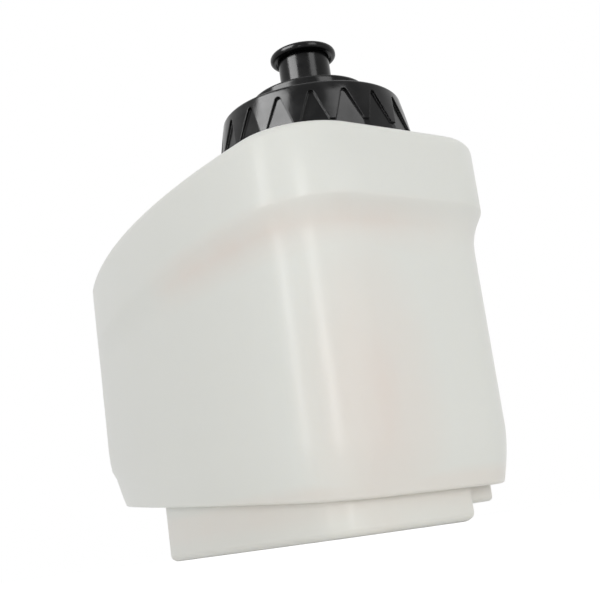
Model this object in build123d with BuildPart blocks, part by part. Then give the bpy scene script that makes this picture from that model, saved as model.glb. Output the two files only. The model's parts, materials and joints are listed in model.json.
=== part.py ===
from build123d import *

import os
from math import atan, cos, radians, sin, tan

# Coolant expansion tank with a screw cap and a pull-up valve nozzle.
# Millimetres, +Z up. The tank stands on its foot at Z = 0, its long axis along X, the blunt end at +X
# and the narrow tail at -X. The body's two sides are alike about the XZ plane.

# Tank shell: plan
body_length = 200.7
body_width = 93.9
corner_radius = 25.8
straight_run = 31.8
tail_width = 22.4
tail_radius = 2.5
wall = 2.0

# Tank shell: heights at the blunt end, and slopes along the length in degrees
body_top = 127.2
top_radius = 4.0
hood_edge = 103.0
hood_step = 14.0
hood_depth = 4.5
hood_slope = -1.26
hood_round = 0.08
hood_fade = 2.2
hood_strips = (0, 0.06, 0.16, 0.32, 0.54, 0.77, 1)
underside = 9.6
underside_slope = 4.75
underside_radius = 1.5
flank_height = 18.4
flank_slope = 6.05
flank_draw = 3.3
flank_bend = 1.6
flank_strips = (0, 0.16, 0.32, 0.48, 0.74, 1)
tail_notch = 2.2
tail_notch_share = 0.4

# Foot: a plinth that follows the plan, with a deeper tread under the front part
foot_inset = 12.5
foot_length = 129.3
plinth_drop = 4.0
plinth_setback = 4.0
plinth_radius = 1.5
tread_setback = 3.1
foot_radius = 3.0
tread_radius = 2.7

# Neck
neck_to_end = 43.3
neck_radius = 26.5
neck_wall = 3.0
neck_height = 15.8

# Seal between the neck's rim and the cap
seal_thickness = 1.4
seal_overlap = 2.5

# Cap
thread_room = 2.0
skirt_wall = 3.0
skirt_flare = 3.9
cap_height = 19.0
cap_plate = 2.6
cap_edge_radius = 1.4
tooth_count = 18
tooth_turn = 1.4
tooth_tip_rise = 4.2
tooth_tip_width = 2.2
tooth_depth = 0.6
panel_apex_drop = 1.6
panel_apex_radius = 1.0
disc_radius = 20.9
disc_height = 6.9
disc_wall = 2.4
disc_edge_radius = 1.2
groove_width = 2.2
groove_depth = 0.8

# Spout on the cap, and the nozzle that slides on it and closes on its pin
spout_radius = 7.0
spout_wall = 1.8
pin_radius = 2.0
port_count = 4
port_radius = 1.1
nozzle_length = 16.9
nozzle_wall = 1.85
nozzle_crown = 3.0
flange_width = 2.65
flange_thickness = 3.0
flange_edge_radius = 1.5
flange_lip = 1.7
lip_depth = 0.8
lip_edge_radius = 1.2

# Clearance between pieces that move on each other
running_gap = 0.3

blunt_end = body_length / 2
cap_x = blunt_end - neck_to_end


def tank_section(height, slope, inset, skin, tail_inset=0, tail_bend=tail_radius):
    """Plan of the tank on a plane that meets the blunt end at this height and rises towards the tail.

    inset draws in the blunt end and the long walls but leaves the tail; skin draws in everything.
    """
    level = Plane(
        origin=(blunt_end, 0, height),
        x_dir=(cos(radians(slope)), 0, -sin(radians(slope))),
        z_dir=(sin(radians(slope)), 0, cos(radians(slope))),
    )
    stretch = 1 / cos(radians(slope))
    end = -(inset + skin) * stretch
    tail = -(body_length - tail_inset - skin) * stretch
    side = body_width / 2 - inset - skin
    tail_side = tail_width / 2 - skin
    bend = corner_radius - inset - skin
    closing = -straight_run * stretch
    with BuildSketch(level) as section:
        with BuildLine():
            Line((end, 0), (end, -side + bend))
            TangentArc((end, -side + bend), (end - bend, -side), tangent=(0, -1))
            Line((end - bend, -side), (closing, -side))
            TangentArc((closing, -side), (tail, -tail_side), tangent=(-1, 0))
            Line((tail, -tail_side), (tail, 0))
            mirror(about=Plane.XZ)
        make_face()
        if tail_bend > 0:
            fillet(section.vertices().group_by(Axis.X)[0], tail_bend)
    return section.sketch


def tank_form(skin):
    """The hooded, tapering body; a skin other than 0 gives the space inside a wall of that thickness."""
    sections = []
    # The flank below the tall wall bends in towards the underside, and is notched at the tail
    for share in reversed(flank_strips):
        sections.append(
            tank_section(
                underside + flank_height * (1 - share) + (skin if share == 1 else 0),
                flank_slope + (underside_slope - flank_slope) * share,
                hood_depth,
                flank_draw * share**flank_bend + skin,
                tail_notch if share > tail_notch_share else 0,
            )
        )
    # The step up to the hood fades out at its foot, and turns over a small round at the hood's edge
    for share in reversed(hood_strips):
        turned = share**2 * (1 + hood_round) / (share + hood_round)
        inset = hood_depth * (1 - (1 - turned) ** hood_fade)
        sections.append(tank_section(hood_edge - hood_step * share, hood_slope, inset, skin))
    sections.append(tank_section(body_top - skin, 0, 0, skin))
    with BuildPart() as form:
        loft(sections, ruled=True)
        fillet(form.edges().group_by(Axis.Z)[-1], top_radius - skin)
        fillet(form.faces().sort_by(Axis.Z)[0].edges(), underside_radius)
    return form.part


def foot_form(bottom, front, rear, skin):
    """Block under the body from this height up, within the plan, cut straight in front and at the rear."""
    tail_end = blunt_end - foot_inset - foot_length + skin
    height = underside + body_length * tan(radians(underside_slope)) - bottom
    plan = tank_section(bottom, 0, hood_depth, foot_draw + skin, tail_bend=0)
    with BuildPart() as foot:
        extrude(plan, amount=height)
        with BuildSketch(Plane.XY.offset(bottom)):
            with Locations((tail_end, rear - skin)):
                Rectangle(front - skin - tail_end, body_width, align=(Align.MIN, Align.MAX))
        extrude(amount=height, mode=Mode.INTERSECT)
        fillet(foot.edges().filter_by(Axis.Z).group_by(Axis.X)[0], foot_radius)
    return foot.part


# The tread's rear wall is set back from the nearer of the foot's two rear corners: one at the tail, on the
# closing arc of the plan, and one at the blunt end
foot_draw = foot_inset - hood_depth
foot_side = body_width / 2 - foot_inset
arc_drop = foot_side - (tail_width / 2 - foot_draw)
arc_reach = body_length - foot_draw - straight_run
arc_radius = (arc_reach**2 + arc_drop**2) / (2 * arc_drop)
arc_run = foot_inset + foot_length - straight_run
tail_corner = foot_side - arc_radius + (arc_radius**2 - arc_run**2) ** 0.5
end_corner = foot_side - (corner_radius - foot_inset)
tread_rear = min(tail_corner, end_corner) - tread_setback

# Tank: one blown shell with its hollow foot and open neck
tank_outside = tank_form(0)
tank_inside = tank_form(wall)
foot_front = blunt_end - foot_inset
plinth_bottom = underside - plinth_drop
plinth_front = foot_front - plinth_setback
plinth_inside = foot_form(plinth_bottom + wall, plinth_front, body_width / 2, wall)
tread_inside = foot_form(wall, foot_front, tread_rear, wall)

with BuildPart() as plinth:
    add(foot_form(plinth_bottom, plinth_front, body_width / 2, 0))
    fillet(plinth.edges().filter_by(Axis.Z).group_by(Axis.X)[-1], plinth_radius)
    fillet(plinth.faces().sort_by(Axis.Z)[0].edges(), plinth_radius)

with BuildPart() as tread:
    add(foot_form(0, foot_front, tread_rear, 0))
    rear_edge = tread.edges().filter_by(Axis.X).group_by(Axis.Z)[0].sort_by(Axis.Y)[-1]
    fillet(rear_edge, tread_radius)

neck_top = body_top + neck_height
neck_bore = neck_radius - neck_wall

with BuildPart() as tank:
    add(tank_outside)
    with BuildSketch(Plane.XY.offset(body_top - wall)):
        with Locations((cap_x, 0)):
            Circle(neck_radius)
    extrude(amount=neck_height + wall)
    add(tread.part)
    add(plinth.part)
    add(tank_inside, mode=Mode.SUBTRACT)
    add(plinth_inside, mode=Mode.SUBTRACT)
    add(tread_inside, mode=Mode.SUBTRACT)
    with BuildSketch(Plane.XY.offset(neck_top)):
        with Locations((cap_x, 0)):
            Circle(neck_bore)
    extrude(amount=-(neck_height + 2 * wall), mode=Mode.SUBTRACT)

# Seal: a flat ring between the neck's rim and the cap
cap_bore = neck_radius + thread_room
seal_bottom = neck_top + running_gap
with BuildPart() as cap_seal:
    with BuildSketch(Plane.XY.offset(seal_bottom)):
        with Locations((cap_x, 0)):
            Circle(cap_bore - running_gap)
            Circle(neck_bore - seal_overlap, mode=Mode.SUBTRACT)
    extrude(amount=seal_thickness)

# Cap: a flaring skirt of pointed teeth, a raised disc and the spout with its pin
plate_bottom = seal_bottom + seal_thickness + running_gap
cap_top = plate_bottom + cap_plate
cap_bottom = cap_top - cap_height
cap_top_radius = cap_bore + skirt_wall
cap_bottom_radius = cap_top_radius + skirt_flare
tooth_tip = cap_bottom + tooth_tip_rise
tooth_tip_radius = cap_bottom_radius - skirt_flare * tooth_tip_rise / cap_height
band_radius = tooth_tip_radius - tooth_depth
groove_bottom = cap_top - groove_depth
disc_top = cap_top + disc_height
disc_inside = disc_radius - disc_wall
disc_ceiling = disc_top - disc_wall
nozzle_bottom = disc_top + running_gap
nozzle_top = nozzle_bottom + nozzle_length
crown_bottom = nozzle_top - nozzle_crown
spout_top = crown_bottom - running_gap
spout_ceiling = spout_top - spout_wall
spout_bore = spout_radius - spout_wall
pin_top = nozzle_top - running_gap

cap_axis = Axis((cap_x, 0, 0), (0, 0, 1))
cap_plane = Plane(origin=(cap_x, 0, 0), x_dir=(1, 0, 0), z_dir=(0, -1, 0))

# Each flat panel between two teeth leans with the skirt and meets the band below the teeth
panel_lean = atan(skirt_flare / cap_height)
panel_side = band_radius * tan(radians(180 / tooth_count)) - tooth_tip_width / 2
panel_reach = (band_radius**2 - panel_side**2) ** 0.5
panel_apex = (cap_height - tooth_tip_rise - panel_apex_drop) / cos(panel_lean)
panel_foot = -tooth_tip_rise / cos(panel_lean) - tooth_depth
panel_planes = []
for number in range(tooth_count):
    turn = radians(360 / tooth_count * number + tooth_turn)
    panel_planes.append(
        Plane(
            origin=(cap_x + panel_reach * cos(turn), panel_reach * sin(turn), tooth_tip),
            x_dir=(-sin(turn), cos(turn), 0),
            z_dir=(cos(turn) * cos(panel_lean), sin(turn) * cos(panel_lean), sin(panel_lean)),
        )
    )

with BuildPart() as cap:
    with BuildSketch(cap_plane):
        with BuildLine():
            Polyline(
                (0, plate_bottom),
                (cap_bore, plate_bottom),
                (cap_bore, cap_bottom),
                (cap_bottom_radius - tooth_depth, cap_bottom),
                (band_radius, tooth_tip),
                (tooth_tip_radius, tooth_tip),
                (cap_top_radius, cap_top),
                (disc_radius + groove_width, cap_top),
                (disc_radius + groove_width, groove_bottom),
                (disc_radius, groove_bottom),
                (disc_radius, disc_top),
                (spout_radius, disc_top),
                (spout_radius, spout_top),
                (pin_radius, spout_top),
                (pin_radius, pin_top),
                (0, pin_top),
                close=True,
            )
        make_face()
    revolve(axis=cap_axis)
    for ring_height, ring_radius in ((cap_top, cap_edge_radius), (disc_top, disc_edge_radius)):
        rings = cap.edges().filter_by_position(Axis.Z, ring_height, ring_height)
        fillet(rings.sort_by(SortBy.RADIUS)[-1], ring_radius)
    with BuildSketch(cap_plane):
        with BuildLine():
            Polyline(
                (0, plate_bottom),
                (disc_inside, plate_bottom),
                (disc_inside, disc_ceiling),
                (spout_bore, disc_ceiling),
                (spout_bore, spout_ceiling),
                (0, spout_ceiling),
                close=True,
            )
        make_face()
    revolve(axis=cap_axis, mode=Mode.SUBTRACT)
    with BuildSketch(Plane.XY.offset(spout_top)):
        with Locations((cap_x, 0)):
            with PolarLocations((pin_radius + spout_bore) / 2, port_count):
                Circle(port_radius)
    extrude(amount=-spout_wall, mode=Mode.SUBTRACT)
    with BuildSketch(*panel_planes) as panels:
        with BuildLine():
            Polyline(
                (-panel_side, panel_foot),
                (panel_side, panel_foot),
                (panel_side, 0),
                (0, panel_apex),
                (-panel_side, 0),
                close=True,
            )
        make_face()
        fillet(panels.vertices().sort_by(Axis.Y)[-1], panel_apex_radius)
    extrude(amount=cap_bottom_radius - panel_reach + tooth_depth, mode=Mode.SUBTRACT)

# Nozzle: a flanged sleeve with a rolled lip, closed by the pin when it is pushed down
sleeve_bore = spout_radius + running_gap
sleeve_radius = sleeve_bore + nozzle_wall
flange_radius = sleeve_radius + flange_width
flange_bottom = nozzle_top - flange_thickness
with BuildPart() as nozzle:
    with BuildSketch(cap_plane):
        with BuildLine():
            Polyline(
                (sleeve_bore, nozzle_bottom),
                (sleeve_radius, nozzle_bottom),
                (sleeve_radius, flange_bottom + lip_depth),
                (flange_radius - flange_lip, flange_bottom + lip_depth),
                (flange_radius - flange_lip, flange_bottom),
                (flange_radius, flange_bottom),
                (flange_radius, nozzle_top),
                (pin_radius + running_gap, nozzle_top),
                (pin_radius + running_gap, crown_bottom),
                (sleeve_bore, crown_bottom),
                close=True,
            )
        make_face()
    revolve(axis=cap_axis)
    for ring_height, ring_radius in ((nozzle_top, flange_edge_radius), (flange_bottom, lip_edge_radius)):
        rings = nozzle.edges().filter_by_position(Axis.Z, ring_height, ring_height)
        fillet(rings.sort_by(SortBy.RADIUS)[-1], ring_radius)

os.makedirs("parts", exist_ok=True)
for piece, name in ((tank, "tank"), (cap_seal, "cap_seal"), (cap, "cap"), (nozzle, "nozzle")):
    piece.part.label = name
    export_step(piece.part, f"parts/{name}.step")
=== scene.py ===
import json
import math

import bmesh
import bpy
from bpy.props import FloatProperty, FloatVectorProperty, IntProperty, PointerProperty
from bpy.types import Operator, Panel, PropertyGroup
from mathutils import Matrix, Vector


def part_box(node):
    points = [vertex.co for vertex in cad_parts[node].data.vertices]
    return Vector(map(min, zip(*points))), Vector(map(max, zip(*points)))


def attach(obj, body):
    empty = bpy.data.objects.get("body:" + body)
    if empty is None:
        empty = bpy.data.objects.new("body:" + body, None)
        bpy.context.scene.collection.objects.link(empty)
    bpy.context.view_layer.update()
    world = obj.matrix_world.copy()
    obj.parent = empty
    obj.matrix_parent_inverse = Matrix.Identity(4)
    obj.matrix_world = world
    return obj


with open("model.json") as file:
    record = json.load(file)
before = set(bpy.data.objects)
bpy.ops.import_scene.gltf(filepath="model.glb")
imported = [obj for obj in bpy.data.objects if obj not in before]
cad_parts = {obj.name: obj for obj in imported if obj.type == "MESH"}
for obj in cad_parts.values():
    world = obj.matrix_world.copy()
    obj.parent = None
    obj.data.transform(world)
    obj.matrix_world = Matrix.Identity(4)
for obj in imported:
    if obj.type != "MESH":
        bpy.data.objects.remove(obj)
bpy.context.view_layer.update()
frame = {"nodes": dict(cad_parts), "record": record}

bl_info = {
    "name": "Coolant expansion tank",
    "version": (1, 0, 0),
    "blender": (4, 5, 0),
    "location": "View3D > Sidebar > Tank",
    "description": "Finishes, screw threads and studio stage of a blown tank with a valve cap",
    "category": "Object",
}

MM = 0.001
WHITE = (1, 1, 1, 1)
PHOTO_PIXELS = 600
SENSOR_WIDTH = 36.0

TANK_LOW, TANK_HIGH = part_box("tank")
SEAL_LOW, SEAL_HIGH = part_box("cap_seal")
CAP_AXIS = (SEAL_LOW + SEAL_HIGH) / 2
CAP_LIFT_PER_TURN = frame["record"]["behaviour"]["couplings"][0]["ratio"] * math.tau

# Painted light and shade: share of the lit colour against the painted shade colour, by share of the tank's
# length from the tail
PAINTED_LIGHT_BY_LENGTH = (
    (0.0, 0.0), (0.12, 0.0), (0.46, 0.33), (0.6, 0.42), (0.72, 0.58),
    (0.8, 0.75), (0.875, 1.0), (0.94, 0.75), (1.0, 0.58),
)
# Warm tint and painted shade along the top of the foot, under the overhang, and at the step below the hood,
# by share of the tank's height
FOOT_TINT_AND_PAINTED_SHADE = ((0.0, 0.15), (0.03, 0.2), (0.06, 0.55), (0.10, 0.55), (0.125, 0.0), (1.0, 0.0))
STEP_TINT_AND_PAINTED_SHADE = (
    (0.0, 0.0), (0.59, 0.0), (0.635, 0.45), (0.665, 0.95), (0.695, 0.55), (0.73, 0.0), (1.0, 0.0),
)
# Where the step's warm tint and painted shade set in along the length, and where they fade across the width,
# by share of the tank's half length and half width, and the share of them that is left on the far side
STEP_ONSET = (-0.05, 0.25)
STEP_FADE = (-0.2, 0.4)
STEP_FAR_TINT_AND_SHADE = 0.25
# The thin patch is twice as tall as it is wide, and warmest over this share of its reach
THIN_SQUASH = (1.0, 1.0, 0.5)
THIN_CORE = 0.2
# Levels of the noise between which the cloudy film goes from none to full
FILM_LEVELS = (0.40, 0.66)
# Least share of the tank's warm tint and painted shade between the patches, which a flattening under 1 draws
# out upwards
PATCH_FLOOR = 0.75
PATCH_FLATTENING = 0.45

RUBBER_ROUGHNESS = (0.62, 0.85)
FLOOR_ROUGHNESS = 0.9
FLOOR_HALF_WIDTH = 4.0

# Faces that meet at less than these angles are shaded as one, on the CAD pieces and on the threads
SOFT_ANGLE = math.radians(32)
THREAD_SOFT_ANGLE = math.radians(35)
JOIN_DISTANCE = 0.005 * MM
RIM_SLACK = 0.01 * MM
# How deep a thread sinks into its wall, and the turn over which it fades at each end
THREAD_SUNK = 0.15 * MM
THREAD_FADE = math.radians(40)

# Softboxes: width and height, then the place of the middle
SOFTBOXES = {
    "side": ((0.09, 0.50), (-0.06, -0.675, 0.14)),
    "front": ((0.05, 0.32), (0.68, -0.64, 0.10)),
    "end": ((1.0, 0.30), (0.95, 0.15, 0.16)),
    "cap_side": ((0.60, 0.57), (0.029, -0.80, 0.63)),
    "cap_front": ((0.37, 0.51), (0.857, 0.0, 0.60)),
}
# Point in the tank, under the cap, that the softboxes of the wall face
WALL_TARGET = Vector((CAP_AXIS.x, 0, 0.08))


def rim_radius(node):
    """Outer radius, round the cap's axis, of the highest edge of a node."""
    points = [vertex.co for vertex in frame["nodes"][node].data.vertices]
    top = max(point.z for point in points)
    return max((point - CAP_AXIS).xy.length for point in points if point.z > top - RIM_SLACK)


# Values that a user would change


class TankFinish(PropertyGroup):
    """Milky blown plastic of the tank."""

    # Lit copy of the wall's colour, for the painted light towards the blunt end
    colour: FloatVectorProperty(
        name="Plastic", description="Colour of the milky wall where light shines through it",
        subtype="COLOR", size=3, min=0, max=1, default=(0.832, 0.840, 0.790))
    # Painted shade: copy of the wall's colour darkened towards the tail
    painted_shade_colour: FloatVectorProperty(
        name="Dim plastic", description="Colour of the milky wall at the tail, which little light reaches",
        subtype="COLOR", size=3, min=0, max=1, default=(0.737, 0.744, 0.699))
    # Warm tint of the plastic, darker than the wall, so that it also paints shade at the step below the hood
    # and along the top of the foot
    warm_tint_and_shade_colour: FloatVectorProperty(
        name="Warm patches", description="Colour of the warm, thinner patches", subtype="COLOR",
        size=3, min=0, max=1, default=(0.800, 0.735, 0.675))
    patch_size: FloatProperty(
        name="Patch size", description="Breadth of the warm patches",
        subtype="DISTANCE", default=16 * MM)
    thin_place: FloatVectorProperty(
        name="Thin place", description="Middle of the wall's thin, warm part", subtype="TRANSLATION",
        size=3, default=(99 * MM, -23 * MM, 38 * MM))
    thin_reach: FloatProperty(
        name="Thin reach", description="How far the wall's thin part spreads", subtype="DISTANCE",
        default=30 * MM)
    peel_size: FloatProperty(
        name="Peel size", description="Breadth of the fine orange peel", subtype="DISTANCE",
        default=1.1 * MM)
    peel_depth: FloatProperty(
        name="Peel depth", description="Depth of the fine orange peel", subtype="DISTANCE",
        default=0.012 * MM)
    wave_size: FloatProperty(
        name="Wave size", description="Breadth of the blown wall's waves", subtype="DISTANCE",
        default=24 * MM)
    wave_depth: FloatProperty(
        name="Wave depth", description="Depth of the blown wall's waves", subtype="DISTANCE",
        default=0.16 * MM)
    roughness_low: FloatProperty(
        name="Least roughness", description="Roughness of the glossiest spots", subtype="FACTOR",
        min=0, max=1, default=0.315)
    roughness_high: FloatProperty(
        name="Most roughness", description="Roughness of the dullest spots", subtype="FACTOR",
        min=0, max=1, default=0.345)


class BlackFinish(PropertyGroup):
    """Polished black plastic of the cap and the nozzle."""

    colour: FloatVectorProperty(
        name="Plastic", description="Colour of the black plastic", subtype="COLOR",
        size=3, min=0, max=1, default=(0.002, 0.002, 0.0021))
    haze_colour: FloatVectorProperty(
        name="Haze", description="Colour of the dull film of handling", subtype="COLOR",
        size=3, min=0, max=1, default=(0.004, 0.004, 0.0041))
    haze_size: FloatProperty(
        name="Haze size", description="Breadth of the cloudy spots of the film", subtype="DISTANCE",
        default=7 * MM)
    grain_size: FloatProperty(
        name="Grain size", description="Breadth of the moulded grain", subtype="DISTANCE",
        default=0.7 * MM)
    grain_depth: FloatProperty(
        name="Grain depth", description="Depth of the moulded grain", subtype="DISTANCE",
        default=0.006 * MM)
    roughness_low: FloatProperty(
        name="Least roughness", description="Roughness where the plastic is clean", subtype="FACTOR",
        min=0, max=1, default=0.15)
    roughness_high: FloatProperty(
        name="Most roughness", description="Roughness under the film of handling", subtype="FACTOR",
        min=0, max=1, default=0.23)
    edge_radius: FloatProperty(
        name="Edge radius", description="Rounding of the moulded edges as the light shows it",
        subtype="DISTANCE", default=0.6 * MM)


class SealFinish(PropertyGroup):
    """Matte rubber of the seal."""

    colour: FloatVectorProperty(
        name="Rubber", description="Colour of the rubber", subtype="COLOR",
        size=3, min=0, max=1, default=(0.026, 0.026, 0.027))
    bloom_colour: FloatVectorProperty(
        name="Bloom", description="Colour of the pale bloom on the rubber", subtype="COLOR",
        size=3, min=0, max=1, default=(0.075, 0.074, 0.071))
    bloom_size: FloatProperty(
        name="Bloom size", description="Breadth of the spots of bloom", subtype="DISTANCE",
        default=3 * MM)


class ThreadSizes(PropertyGroup):
    """Screw thread of the neck, and of the cap that runs on it."""

    turns: FloatProperty(
        name="Turns", description="Turns of each thread", min=0.5, max=2.0, default=1.3)
    rim_distance: FloatProperty(
        name="Below the rim", description="From the neck's rim to the top of its thread",
        subtype="DISTANCE", default=2.4 * MM)
    height: FloatProperty(
        name="Height", description="How far the thread stands out", subtype="DISTANCE",
        default=1.2 * MM)
    foot_width: FloatProperty(
        name="Foot width", description="Width of the thread where it meets the wall",
        subtype="DISTANCE", default=2.2 * MM)
    crest_width: FloatProperty(
        name="Crest width", description="Width of the thread's crest", subtype="DISTANCE",
        default=1.0 * MM)
    bore_room: FloatProperty(
        name="Room in the cap", description="From the seal's edge to the cap's bore",
        subtype="DISTANCE", default=0.3 * MM)
    steps: IntProperty(
        name="Steps", description="Sections in each turn", min=24, max=200, default=96)


class StageSettings(PropertyGroup):
    """Camera, lamps and floor."""

    camera_place: FloatVectorProperty(
        name="Camera place", description="Where the camera stands", subtype="TRANSLATION",
        size=3, default=(0.3462, -0.2439, 0.0008))
    camera_yaw: FloatProperty(
        name="Camera yaw", description="Turn of the view from +Y towards -X", subtype="ANGLE",
        default=math.radians(51.839))
    camera_pitch: FloatProperty(
        name="Camera pitch", description="How far the view looks up", subtype="ANGLE",
        default=math.radians(12.084))
    camera_roll: FloatProperty(
        name="Camera roll", description="How far the camera leans", subtype="ANGLE",
        default=math.radians(7.954))
    focal_pixels: FloatProperty(
        name="Focal length", description="Focal length in pixels of the photograph",
        subtype="PIXEL", default=1120.81)
    side_power: FloatProperty(
        name="Side softbox", description="Power of the tall softbox beside the long wall",
        subtype="POWER", default=0.85)
    front_power: FloatProperty(
        name="Front softbox", description="Power of the tall softbox beside the camera",
        subtype="POWER", default=1.17)
    end_power: FloatProperty(
        name="End softbox", description="Power of the broad softbox beyond the blunt end",
        subtype="POWER", default=1.1)
    cap_side_power: FloatProperty(
        name="Cap side softbox", subtype="POWER", default=28,
        description="Power of the softbox that lights the black pieces from the side")
    cap_front_power: FloatProperty(
        name="Cap front softbox", subtype="POWER", default=5.5,
        description="Power of the softbox that lights the black pieces in front")
    fill_strength: FloatProperty(
        name="Fill", description="Strength of the even light from all round", min=0, max=1,
        default=0.54)
    fill_lean: FloatProperty(
        name="Fill lean", description="How much stronger the fill is from the blunt end than from the tail",
        subtype="FACTOR", min=0, max=1, default=0.45)
    floor_colour: FloatVectorProperty(
        name="Floor", description="Colour of the floor", subtype="COLOR",
        size=3, min=0, max=1, default=(0.92, 0.92, 0.92))
    floor_glow: FloatProperty(
        name="Floor glow", description="White that the floor adds to its own light where it is seen",
        subtype="FACTOR", min=0, max=1, default=0.6)


class TankSettings(PropertyGroup):
    """All values of the tank and its stage."""

    tank: PointerProperty(type=TankFinish)
    black: PointerProperty(type=BlackFinish)
    seal: PointerProperty(type=SealFinish)
    thread: PointerProperty(type=ThreadSizes)
    stage: PointerProperty(type=StageSettings)


# Node helpers


def add_node(tree, kind, **values):
    """A new node with these values, given by the name of an input or of a property."""
    node = tree.nodes.new(kind)
    for name, value in values.items():
        socket = node.inputs.get(name.replace("_", " "))
        if socket is None:
            setattr(node, name, value)
        else:
            socket.default_value = value
    return node


def combine(tree, operation, first, second):
    """Value that a math operation makes of two others."""
    node = add_node(tree, "ShaderNodeMath", operation=operation)
    tree.links.new(first, node.inputs[0])
    tree.links.new(second, node.inputs[1])
    return node.outputs[0]


def value_ramp(tree, source, stops):
    """Value that follows a row of (place, value) stops."""
    ramp = add_node(tree, "ShaderNodeValToRGB")
    marks = ramp.color_ramp.elements
    while len(marks) < len(stops):
        marks.new(position=0.5)
    for mark, (place, value) in zip(marks, stops):
        mark.position = place
        mark.color = (value, value, value, 1)
    tree.links.new(source, ramp.inputs[0])
    return ramp.outputs["Color"]


def mix_colours(tree, factor, first, second):
    """Colour that goes from first to second by a factor socket; each is a colour or a socket."""
    node = add_node(tree, "ShaderNodeMix", data_type="RGBA")
    tree.links.new(factor, node.inputs["Factor"])
    colour_inputs = [socket for socket in node.inputs if socket.type == "RGBA"]
    for socket, value in zip(colour_inputs, (first, second)):
        if isinstance(value, bpy.types.NodeSocket):
            tree.links.new(value, socket)
        else:
            socket.default_value = (*value, 1)
    return next(socket for socket in node.outputs if socket.type == "RGBA")


def map_range(tree, value, source, target):
    """Value socket moved from one range to another."""
    node = add_node(tree, "ShaderNodeMapRange")
    for label, amount in zip(("From Min", "From Max", "To Min", "To Max"), (*source, *target)):
        node.inputs[label].default_value = amount
    tree.links.new(value, node.inputs["Value"])
    return node.outputs["Result"]


def sized_noise(tree, coordinates, size_socket, detail):
    """Noise whose features are as broad as the size that a socket gives."""
    scale = add_node(tree, "ShaderNodeMath", operation="DIVIDE")
    scale.inputs[0].default_value = 1.0
    tree.links.new(size_socket, scale.inputs[1])
    noise = add_node(tree, "ShaderNodeTexNoise", Detail=detail)
    tree.links.new(coordinates, noise.inputs["Vector"])
    tree.links.new(scale.outputs[0], noise.inputs["Scale"])
    return noise.outputs["Fac"]


def new_group(name, defaults, outputs):
    """Empty shader group with a value input for each default, and these value outputs."""
    group = bpy.data.node_groups.new(name, "ShaderNodeTree")
    for label, default in defaults.items():
        socket = group.interface.new_socket(label, in_out="INPUT", socket_type="NodeSocketFloat")
        socket.default_value = default
    for label in outputs:
        group.interface.new_socket(label, in_out="OUTPUT", socket_type="NodeSocketFloat")
    return group, group.nodes.new("NodeGroupInput"), group.nodes.new("NodeGroupOutput")


def moulded_surface_group():
    """Fine grain and slow waves of a moulded surface, each from 0 to 1."""
    name = "Moulded surface"
    if name in bpy.data.node_groups:
        return bpy.data.node_groups[name]
    defaults = {"Grain Size": 1 * MM, "Wave Size": 20 * MM}
    group, sockets_in, sockets_out = new_group(name, defaults, ("Grain", "Waves"))
    place = add_node(group, "ShaderNodeTexCoord").outputs["Object"]
    grain = sized_noise(group, place, sockets_in.outputs["Grain Size"], detail=2.0)
    waves = sized_noise(group, place, sockets_in.outputs["Wave Size"], detail=1.0)
    group.links.new(grain, sockets_out.inputs["Grain"])
    group.links.new(waves, sockets_out.inputs["Waves"])
    return group


def cloudy_film_group():
    """Cloudy spots with soft edges, 0 where the surface is clean and 1 under the film."""
    name = "Cloudy film"
    if name in bpy.data.node_groups:
        return bpy.data.node_groups[name]
    defaults = {"Spot Size": 10 * MM, "Flattening": 1.0}
    group, sockets_in, sockets_out = new_group(name, defaults, ("Film",))
    place = add_node(group, "ShaderNodeTexCoord").outputs["Object"]
    scales = add_node(group, "ShaderNodeCombineXYZ", X=1.0, Y=1.0)
    group.links.new(sockets_in.outputs["Flattening"], scales.inputs["Z"])
    stretched = add_node(group, "ShaderNodeVectorMath", operation="MULTIPLY")
    group.links.new(place, stretched.inputs[0])
    group.links.new(scales.outputs[0], stretched.inputs[1])
    clouds = sized_noise(group, stretched.outputs[0], sockets_in.outputs["Spot Size"], detail=5.0)
    film = map_range(group, clouds, FILM_LEVELS, (0.0, 1.0))
    group.links.new(film, sockets_out.inputs["Film"])
    return group


def place_group(tree, group, **values):
    """A shader group in a material, with its own values, given by the names of its inputs."""
    node = add_node(tree, "ShaderNodeGroup", node_tree=group)
    for label, value in values.items():
        node.inputs[label.replace("_", " ")].default_value = value
    return node


def new_material(name):
    """Empty material with its Principled shader."""
    material = bpy.data.materials.new(name)
    material.use_nodes = True
    return material, material.node_tree, material.node_tree.nodes["Principled BSDF"]


def bump_normal(tree, height, depth, normal=None):
    """Normal of a relief of this depth, laid over another normal where one is given."""
    bump = add_node(tree, "ShaderNodeBump", Strength=1.0, Distance=depth)
    tree.links.new(height, bump.inputs["Height"])
    if normal is not None:
        tree.links.new(normal, bump.inputs["Normal"])
    return bump.outputs["Normal"]


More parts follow.
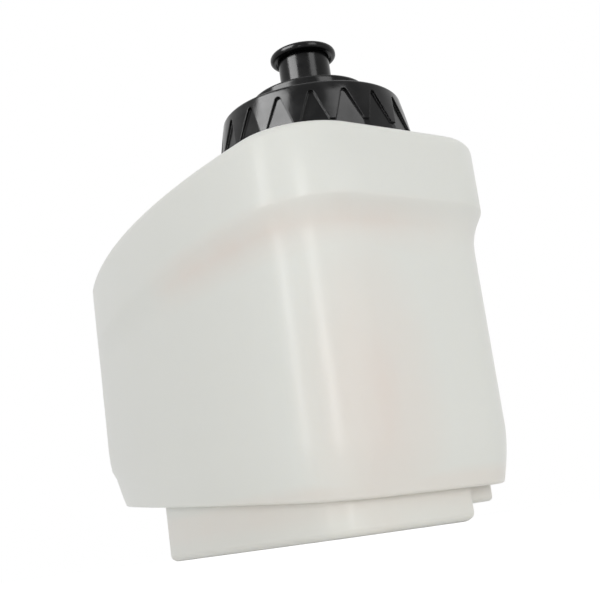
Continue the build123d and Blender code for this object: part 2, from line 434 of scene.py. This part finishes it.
def soft_shading_group():
    """Geometry group that joins the faces of a moulding and shades them as one, but for its sharp edges."""
    name = "Soft shading"
    if name in bpy.data.node_groups:
        return bpy.data.node_groups[name]
    group = bpy.data.node_groups.new(name, "GeometryNodeTree")
    group.is_modifier = True
    group.interface.new_socket("Geometry", in_out="INPUT", socket_type="NodeSocketGeometry")
    group.interface.new_socket("Geometry", in_out="OUTPUT", socket_type="NodeSocketGeometry")
    joined = add_node(group, "GeometryNodeMergeByDistance", Distance=JOIN_DISTANCE)
    bare = add_node(group, "GeometryNodeRemoveAttribute", Name="custom_normal")
    smooth = add_node(group, "GeometryNodeSetShadeSmooth", domain="FACE")
    edges = add_node(group, "GeometryNodeSetShadeSmooth", domain="EDGE")
    angle = add_node(group, "GeometryNodeInputMeshEdgeAngle")
    soft = add_node(group, "FunctionNodeCompare", data_type="FLOAT", operation="LESS_THAN")
    soft.inputs["B"].default_value = SOFT_ANGLE
    group.links.new(angle.outputs["Unsigned Angle"], soft.inputs["A"])
    group.links.new(soft.outputs["Result"], edges.inputs["Shade Smooth"])
    chain = (group.nodes.new("NodeGroupInput"), joined, bare, smooth, edges,
             group.nodes.new("NodeGroupOutput"))
    for node, following in zip(chain, chain[1:]):
        group.links.new(node.outputs[0], following.inputs[0])
    return group


def dress(node, material):
    """Gives a CAD node its finish, and shades its faces as one moulding."""
    piece = frame["nodes"][node]
    if piece.type != "MESH":
        raise RuntimeError(f"{node} has no mesh to finish")
    piece.data.materials.clear()
    piece.data.materials.append(material)
    piece.modifiers.new("soft_shading", "NODES").node_group = soft_shading_group()


# Finishes


def thin_patch(tree, place, finish):
    """Value of 1 in the middle of the wall's thin patch, falling to 0 where the patch ends."""
    squashed = add_node(tree, "ShaderNodeVectorMath", operation="MULTIPLY")
    squashed.inputs[1].default_value = THIN_SQUASH
    tree.links.new(place, squashed.inputs[0])
    distance = add_node(tree, "ShaderNodeVectorMath", operation="DISTANCE")
    middle = [part * squash for part, squash in zip(finish.thin_place, THIN_SQUASH)]
    distance.inputs[1].default_value = middle
    tree.links.new(squashed.outputs[0], distance.inputs[0])
    reach = (THIN_CORE * finish.thin_reach, finish.thin_reach)
    return map_range(tree, distance.outputs["Value"], reach, (1, 0))


def tint_and_painted_shade_bands(tree, axes):
    """Value of up to 1 for the warm tint and painted shade at the step below the hood and along the top of
    the foot.
    """
    height = map_range(tree, axes.outputs["Z"], (TANK_LOW.z, TANK_HIGH.z), (0, 1))
    onset = [share * TANK_HIGH.x for share in STEP_ONSET]
    fade = [share * TANK_HIGH.y for share in STEP_FADE]
    along = map_range(tree, axes.outputs["X"], onset, (0, 1))
    across = map_range(tree, axes.outputs["Y"], fade, (1, STEP_FAR_TINT_AND_SHADE))
    reached = combine(tree, "MULTIPLY", along, across)
    step = combine(tree, "MULTIPLY", value_ramp(tree, height, STEP_TINT_AND_PAINTED_SHADE), reached)
    return combine(tree, "MAXIMUM", step, value_ramp(tree, height, FOOT_TINT_AND_PAINTED_SHADE))


def milky_plastic(finish):
    """Milky blown plastic: painted light and shade along its length, a warm patch, a warm tint with painted
    shade at the step below the hood and along the foot, waves, orange peel and light inside.
    """
    material, tree, shader = new_material("milky_plastic")
    place = add_node(tree, "ShaderNodeTexCoord").outputs["Object"]
    axes = add_node(tree, "ShaderNodeSeparateXYZ")
    tree.links.new(place, axes.inputs[0])
    film = place_group(
        tree, cloudy_film_group(), Spot_Size=finish.patch_size, Flattening=PATCH_FLATTENING)
    patchy = map_range(tree, film.outputs["Film"], (0, 1), (PATCH_FLOOR, 1))
    # Warm tint of the thin patch, and warm tint with painted shade at the step below the hood and along the
    # top of the foot
    tint_and_shade_reach = combine(tree, "MAXIMUM", thin_patch(tree, place, finish), tint_and_painted_shade_bands(tree, axes))
    warm = combine(tree, "MULTIPLY", tint_and_shade_reach, patchy)
    # Painted light and shade: the wall goes from the painted shade colour at the tail to the lit colour
    # towards the blunt end
    length = map_range(tree, axes.outputs["X"], (TANK_LOW.x, TANK_HIGH.x), (0, 1))
    glow = value_ramp(tree, length, PAINTED_LIGHT_BY_LENGTH)
    painted_light_tone = mix_colours(tree, glow, finish.painted_shade_colour, finish.colour)
    colour = mix_colours(tree, warm, painted_light_tone, finish.warm_tint_and_shade_colour)
    tree.links.new(colour, shader.inputs["Base Color"])
    surface = place_group(
        tree, moulded_surface_group(), Grain_Size=finish.peel_size, Wave_Size=finish.wave_size)
    roughness = map_range(
        tree, surface.outputs["Waves"], (0.0, 1.0), (finish.roughness_low, finish.roughness_high))
    tree.links.new(roughness, shader.inputs["Roughness"])
    waves = bump_normal(tree, surface.outputs["Waves"], finish.wave_depth)
    peel = bump_normal(tree, surface.outputs["Grain"], finish.peel_depth, waves)
    tree.links.new(peel, shader.inputs["Normal"])
    shader.inputs["IOR"].default_value = 1.5
    shader.inputs["Subsurface Weight"].default_value = 0.3
    shader.inputs["Subsurface Radius"].default_value = (1.0, 0.95, 0.85)
    shader.inputs["Subsurface Scale"].default_value = 3 * MM
    return material


def black_plastic(name, finish):
    """Polished black plastic with a cloudy film of handling and a faint moulded grain."""
    material, tree, shader = new_material(name)
    film = place_group(tree, cloudy_film_group(), Spot_Size=finish.haze_size)
    colour = mix_colours(tree, film.outputs["Film"], finish.colour, finish.haze_colour)
    tree.links.new(colour, shader.inputs["Base Color"])
    roughness = map_range(
        tree, film.outputs["Film"], (0.0, 1.0), (finish.roughness_low, finish.roughness_high))
    tree.links.new(roughness, shader.inputs["Roughness"])
    surface = place_group(
        tree, moulded_surface_group(), Grain_Size=finish.grain_size, Wave_Size=finish.haze_size)
    edges = add_node(tree, "ShaderNodeBevel", samples=6, Radius=finish.edge_radius)
    normal = bump_normal(
        tree, surface.outputs["Grain"], finish.grain_depth, edges.outputs["Normal"])
    tree.links.new(normal, shader.inputs["Normal"])
    shader.inputs["Specular IOR Level"].default_value = 0.12
    return material


def seal_rubber(finish):
    """Matte rubber with a pale bloom."""
    material, tree, shader = new_material("seal_rubber")
    film = place_group(tree, cloudy_film_group(), Spot_Size=finish.bloom_size)
    colour = mix_colours(tree, film.outputs["Film"], finish.colour, finish.bloom_colour)
    tree.links.new(colour, shader.inputs["Base Color"])
    roughness = map_range(tree, film.outputs["Film"], (0.0, 1.0), RUBBER_ROUGHNESS)
    tree.links.new(roughness, shader.inputs["Roughness"])
    return material


# Screw threads


def thread_ridge(name, sizes, wall_radius, outward, top):
    """Right-handed ridge round the cap's axis, on the outside of a wall or on the inside of a bore.

    outward is 1 on the neck and -1 in the cap. The ridge sinks a little into its wall and fades at its ends.
    """
    turn = sizes.turns * math.tau
    count = round(sizes.steps * sizes.turns)
    half_foot = sizes.foot_width / 2
    half_crest = sizes.crest_width / 2
    foot = wall_radius - outward * THREAD_SUNK
    mesh = bmesh.new()
    rings = []
    for number in range(count + 1):
        angle = turn * number / count
        fade = min(1.0, angle / THREAD_FADE, (turn - angle) / THREAD_FADE)
        crest = wall_radius + outward * (sizes.height * fade - THREAD_SUNK * (1 - fade))
        middle = top - half_foot - CAP_LIFT_PER_TURN * (turn - angle) / math.tau
        outline = ((foot, -half_foot), (crest, -half_crest), (crest, half_crest), (foot, half_foot))
        ring = []
        for radius, rise in outline:
            place = (
                CAP_AXIS.x + radius * math.cos(angle),
                CAP_AXIS.y + radius * math.sin(angle),
                middle + rise,
            )
            ring.append(mesh.verts.new(place))
        rings.append(ring)
    for ring, following in zip(rings, rings[1:]):
        for corner in range(len(ring)):
            after = (corner + 1) % len(ring)
            mesh.faces.new((ring[corner], ring[after], following[after], following[corner]))
    mesh.faces.new(rings[0])
    mesh.faces.new(reversed(rings[-1]))
    bmesh.ops.recalc_face_normals(mesh, faces=mesh.faces)
    data = bpy.data.meshes.new(name)
    mesh.to_mesh(data)
    mesh.free()
    for face in data.polygons:
        face.use_smooth = True
    data.set_sharp_from_angle(angle=THREAD_SOFT_ANGLE)
    ridge = bpy.data.objects.new(name, data)
    bpy.context.scene.collection.objects.link(ridge)
    return ridge


# Stage


def seen_as_backdrop(tree):
    """Value of 1 for rays from the camera, off glossy surfaces and through clear ones, and 0 for others."""
    paths = add_node(tree, "ShaderNodeLightPath")
    seen = combine(tree, "MAXIMUM", paths.outputs["Is Camera Ray"], paths.outputs["Is Glossy Ray"])
    return combine(tree, "MAXIMUM", seen, paths.outputs["Is Transmission Ray"])


def background_world(settings):
    """White wherever the background is seen, itself or mirrored, and a soft fill on dull surfaces."""
    world = bpy.data.worlds.new("studio_white")
    world.use_nodes = True
    tree = world.node_tree
    tree.nodes.clear()
    white = add_node(tree, "ShaderNodeBackground", Color=WHITE, Strength=1.0)
    even = add_node(tree, "ShaderNodeBackground", Color=WHITE)
    direction = add_node(tree, "ShaderNodeSeparateXYZ")
    tree.links.new(add_node(tree, "ShaderNodeTexCoord").outputs["Generated"], direction.inputs[0])
    weakest = settings.fill_strength * (1 - settings.fill_lean)
    strongest = settings.fill_strength * (1 + settings.fill_lean)
    fill = map_range(tree, direction.outputs["X"], (-1, 1), (weakest, strongest))
    tree.links.new(fill, even.inputs["Strength"])
    choice = add_node(tree, "ShaderNodeMixShader")
    tree.links.new(seen_as_backdrop(tree), choice.inputs[0])
    tree.links.new(even.outputs[0], choice.inputs[1])
    tree.links.new(white.outputs[0], choice.inputs[2])
    output = add_node(tree, "ShaderNodeOutputWorld")
    tree.links.new(choice.outputs[0], output.inputs["Surface"])
    return world


def pale_floor(settings):
    """Pale floor that takes the object's shadow and is otherwise white to the camera."""
    half = FLOOR_HALF_WIDTH
    data = bpy.data.meshes.new("floor")
    corners = [(-half, -half, 0), (half, -half, 0), (half, half, 0), (-half, half, 0)]
    data.from_pydata(corners, [], [(0, 1, 2, 3)])
    floor = bpy.data.objects.new("floor", data)
    floor.location.z = TANK_LOW.z
    bpy.context.scene.collection.objects.link(floor)
    material, tree, shader = new_material("floor_white")
    shader.inputs["Base Color"].default_value = (*settings.floor_colour, 1)
    shader.inputs["Roughness"].default_value = FLOOR_ROUGHNESS
    shader.inputs["Specular IOR Level"].default_value = 0.0
    glow = map_range(tree, seen_as_backdrop(tree), (0, 1), (0, settings.floor_glow))
    white = add_node(tree, "ShaderNodeEmission", Color=WHITE)
    tree.links.new(glow, white.inputs["Strength"])
    both = add_node(tree, "ShaderNodeAddShader")
    tree.links.new(shader.outputs[0], both.inputs[0])
    tree.links.new(white.outputs[0], both.inputs[1])
    tree.links.new(both.outputs[0], tree.nodes["Material Output"].inputs["Surface"])
    data.materials.append(material)


def softbox(name, power, target, only=()):
    """One of the softboxes, facing a point; where pieces are given, it lights them alone."""
    size, place = SOFTBOXES[name]
    label = f"{name}_softbox"
    lamp = bpy.data.lights.new(label, "AREA")
    lamp.shape = "RECTANGLE"
    lamp.size, lamp.size_y = size
    lamp.energy = power
    holder = bpy.data.objects.new(label, lamp)
    holder.location = place
    holder.rotation_euler = (target - Vector(place)).to_track_quat("-Z", "Y").to_euler()
    bpy.context.scene.collection.objects.link(holder)
    if only:
        lit = bpy.data.collections.new(label)
        for piece in only:
            lit.objects.link(piece)
        holder.light_linking.receiver_collection = lit


def photo_camera(settings):
    """Camera with the place, turn and lens of the photograph."""
    yaw, pitch, roll = settings.camera_yaw, settings.camera_pitch, settings.camera_roll
    right = Vector((math.cos(yaw), math.sin(yaw), 0))
    ahead = Vector((-math.sin(yaw), math.cos(yaw), 0)) * math.cos(pitch)
    ahead.z = math.sin(pitch)
    above = right.cross(ahead)
    across = math.cos(roll) * right - math.sin(roll) * above
    upward = math.sin(roll) * right + math.cos(roll) * above
    turn = Matrix((across, upward, -ahead)).transposed().to_4x4()
    lens = bpy.data.cameras.new("photo_camera")
    lens.sensor_width = SENSOR_WIDTH
    lens.lens = SENSOR_WIDTH * settings.focal_pixels / PHOTO_PIXELS
    lens.clip_start = 1 * MM
    camera = bpy.data.objects.new("photo_camera", lens)
    camera.matrix_world = Matrix.Translation(settings.camera_place) @ turn
    bpy.context.scene.collection.objects.link(camera)
    return camera


# Operators


class TANK_OT_shell(Operator):
    """Finish the blown shell of the tank"""

    bl_idname = "expansion_tank.shell"
    bl_label = "Tank shell"

    def execute(self, context):
        dress("tank", milky_plastic(context.scene.expansion_tank.tank))
        return {"FINISHED"}


class TANK_OT_neck_thread(Operator):
    """Build the screw thread on the outside of the neck"""

    bl_idname = "expansion_tank.neck_thread"
    bl_label = "Neck thread"

    def execute(self, context):
        sizes = context.scene.expansion_tank.thread
        top = TANK_HIGH.z - sizes.rim_distance
        ridge = thread_ridge("neck_thread", sizes, rim_radius("tank"), 1, top)
        ridge.data.materials.append(bpy.data.materials["milky_plastic"])
        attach(ridge, "tank")
        return {"FINISHED"}


class TANK_OT_cap(Operator):
    """Finish the toothed cap and build the screw thread in its bore"""

    bl_idname = "expansion_tank.cap"
    bl_label = "Toothed cap"

    def execute(self, context):
        settings = context.scene.expansion_tank
        material = black_plastic("cap_black", settings.black)
        dress("cap", material)
        sizes = settings.thread
        bore = (SEAL_HIGH.x - SEAL_LOW.x) / 2 + sizes.bore_room
        top = TANK_HIGH.z - sizes.rim_distance - CAP_LIFT_PER_TURN / 2
        ridge = thread_ridge("cap_thread", sizes, bore, -1, top)
        ridge.data.materials.append(material)
        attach(ridge, "cap")
        return {"FINISHED"}


class TANK_OT_seal(Operator):
    """Finish the flat seal under the cap"""

    bl_idname = "expansion_tank.seal"
    bl_label = "Cap seal"

    def execute(self, context):
        dress("cap_seal", seal_rubber(context.scene.expansion_tank.seal))
        return {"FINISHED"}


class TANK_OT_nozzle(Operator):
    """Finish the pull-up nozzle"""

    bl_idname = "expansion_tank.nozzle"
    bl_label = "Valve nozzle"

    def execute(self, context):
        dress("nozzle", black_plastic("nozzle_black", context.scene.expansion_tank.black))
        return {"FINISHED"}


class TANK_OT_stage(Operator):
    """Set up the floor, the light and the camera"""

    bl_idname = "expansion_tank.stage"
    bl_label = "Studio stage"

    def execute(self, context):
        settings = context.scene.expansion_tank.stage
        pale_floor(settings)
        context.scene.world = background_world(settings)
        softbox("side", settings.side_power, WALL_TARGET)
        softbox("front", settings.front_power, WALL_TARGET)
        softbox("end", settings.end_power, WALL_TARGET)
        black = [frame["nodes"][node] for node in ("cap", "nozzle")]
        softbox("cap_side", settings.cap_side_power, CAP_AXIS, black)
        softbox("cap_front", settings.cap_front_power, CAP_AXIS, black)
        context.scene.camera = photo_camera(settings)
        context.scene.view_settings.view_transform = "Standard"
        return {"FINISHED"}


OPERATORS = (
    TANK_OT_shell,
    TANK_OT_neck_thread,
    TANK_OT_cap,
    TANK_OT_seal,
    TANK_OT_nozzle,
    TANK_OT_stage,
)


class VIEW3D_PT_expansion_tank(Panel):
    """Values of the tank and the buttons that build it"""

    bl_idname = "VIEW3D_PT_expansion_tank"
    bl_label = "Coolant expansion tank"
    bl_space_type = "VIEW_3D"
    bl_region_type = "UI"
    bl_category = "Tank"

    def draw(self, context):
        settings = context.scene.expansion_tank
        for name in ("tank", "black", "seal", "thread", "stage"):
            box = self.layout.box()
            box.label(text=name.capitalize())
            group = getattr(settings, name)
            for value in group.__annotations__:
                box.prop(group, value)
        for operator in OPERATORS:
            self.layout.operator(operator.bl_idname)


CLASSES = (
    TankFinish,
    BlackFinish,
    SealFinish,
    ThreadSizes,
    StageSettings,
    TankSettings,
    *OPERATORS,
    VIEW3D_PT_expansion_tank,
)


def register():
    for item in CLASSES:
        bpy.utils.register_class(item)
    bpy.types.Scene.expansion_tank = PointerProperty(type=TankSettings)


def unregister():
    del bpy.types.Scene.expansion_tank
    for item in reversed(CLASSES):
        bpy.utils.unregister_class(item)


def main():
    register()
    bpy.ops.expansion_tank.shell()
    bpy.ops.expansion_tank.neck_thread()
    bpy.ops.expansion_tank.cap()
    bpy.ops.expansion_tank.seal()
    bpy.ops.expansion_tank.nozzle()
    bpy.ops.expansion_tank.stage()


if __name__ == "__main__":
    main()
